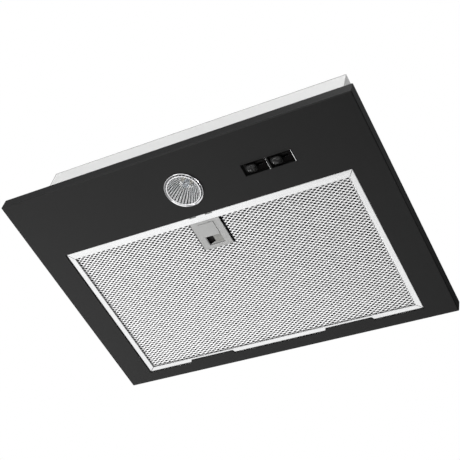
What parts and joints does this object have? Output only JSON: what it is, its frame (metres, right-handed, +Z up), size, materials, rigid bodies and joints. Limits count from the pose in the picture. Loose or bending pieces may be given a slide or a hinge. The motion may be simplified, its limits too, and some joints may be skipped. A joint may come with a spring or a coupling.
{
  "type": "built-in extractor hood",
  "caption": "Shallow built-in kitchen extractor: dark panel with a mesh grease filter, a lamp and slide switches under a pale body with a round duct spigot.",
  "frame": {"origin": "under the middle of the panel, level with the tips of the switch knobs, which are the lowest points", "axes": "+X to the right and -Y towards the person facing the controls, +Z up towards the duct"},
  "size_m": [0.53, 0.37, 0.172],
  "materials": {
    "panel_enamel": "black baked enamel, fine satin grain",
    "body_enamel": "light grey baked enamel, satin",
    "filter_aluminium": "bright rolled aluminium channel",
    "filter_mesh": "expanded aluminium mesh, bright",
    "zinc_steel": "zinc-plated steel",
    "chrome": "polished plated ring",
    "reflector": "faceted mirror coating inside a glass bowl",
    "clear_glass": "clear pressed glass",
    "ceramic": "unglazed lamp ceramic",
    "black_plastic": "moulded, glossy",
    "white_plastic": "moulded, semi-gloss",
    "latch_plastic": "moulded grey, fine spark texture",
    "box_plastic": "moulded light grey, fine texture",
    "fan_plastic": "moulded dark grey, satin",
    "cable_rubber": "flexible cable sheath, matt"
  },
  "bodies": {
    "hood": {"canopy_panel": "panel_enamel", "body_shell": "body_enamel", "latch_keeper": "zinc_steel", "flange_nut_1": "zinc_steel", "flange_nut_2": "zinc_steel", "flange_nut_3": "zinc_steel", "flange_nut_4": "zinc_steel", "cabinet_bracket_left": "zinc_steel", "cabinet_bracket_right": "zinc_steel", "bracket_screw_left": "zinc_steel", "bracket_screw_right": "zinc_steel", "light_bezel": "chrome", "lamp_reflector": "reflector", "lamp_glass": "clear_glass", "lamp_capsule": "clear_glass", "lamp_base": "ceramic", "lamp_holder": "ceramic", "lamp_bracket": "zinc_steel", "switch_housing": "black_plastic", "light_switch": "white_plastic", "fan_switch": "white_plastic", "fan_scroll": "fan_plastic", "scroll_cover": "zinc_steel", "inlet_ring": "fan_plastic", "motor": "zinc_steel", "motor_bracket": "zinc_steel", "motor_mount_1": "cable_rubber", "motor_mount_2": "cable_rubber", "motor_mount_3": "cable_rubber", "motor_screw_1": "zinc_steel", "motor_screw_2": "zinc_steel", "motor_screw_3": "zinc_steel", "run_capacitor": "white_plastic", "outlet_spigot": "fan_plastic", "spigot_screw_1": "zinc_steel", "spigot_screw_2": "zinc_steel", "spigot_screw_3": "zinc_steel", "flap_pin": "zinc_steel", "terminal_box": "box_plastic", "terminal_box_lid": "box_plastic", "cable_gland": "black_plastic", "mains_cable": "cable_rubber", "wiring_loom": "cable_rubber", "control_cover": "zinc_steel"},
    "filter": {"filter_rail_front": "filter_aluminium", "filter_rail_rear": "filter_aluminium", "filter_rail_left": "filter_aluminium", "filter_rail_right": "filter_aluminium", "filter_outer_mesh": "filter_mesh", "filter_core": "filter_mesh", "filter_inner_mesh": "filter_mesh", "filter_latch_plate": "latch_plastic"},
    "latch": {"latch_slider": "latch_plastic", "latch_spring": "zinc_steel"},
    "light_slider": {"light_knob": "black_plastic"},
    "fan_slider": {"fan_knob": "black_plastic"},
    "fan_wheel": {"impeller": "fan_plastic", "motor_shaft": "zinc_steel"},
    "front_flap": {"flap_front": "black_plastic"},
    "rear_flap": {"flap_rear": "black_plastic"}
  },
  "joints": [
    {"name": "filter_pivot", "type": "hinge", "parent": "hood", "child": "filter", "pos_m": [0, 0.1617, 0.0048], "axis": [1, 0, 0], "range_deg": [0, 40]},
    {"name": "latch_slide", "type": "slide", "parent": "filter", "child": "latch", "axis": [0, 1, 0], "range_m": [0, 0.005], "deforming": ["latch_spring"]},
    {"name": "light_knob_slide", "type": "slide", "parent": "hood", "child": "light_slider", "axis": [1, 0, 0], "range_m": [0, 0.012]},
    {"name": "fan_knob_slide", "type": "slide", "parent": "hood", "child": "fan_slider", "axis": [1, 0, 0], "range_m": [0, 0.012]},
    {"name": "fan_spin", "type": "hinge", "parent": "hood", "child": "fan_wheel", "pos_m": [-0.06, 0.023, 0.04], "axis": [0, 0, 1], "continuous": true},
    {"name": "front_flap_hinge", "type": "hinge", "parent": "hood", "child": "front_flap", "pos_m": [0.125, 0.07, 0.1205], "axis": [-1, 0, 0], "range_deg": [0, 70]},
    {"name": "rear_flap_hinge", "type": "hinge", "parent": "hood", "child": "rear_flap", "pos_m": [0.125, 0.07, 0.1205], "axis": [1, 0, 0], "range_deg": [0, 70]}
  ]
}
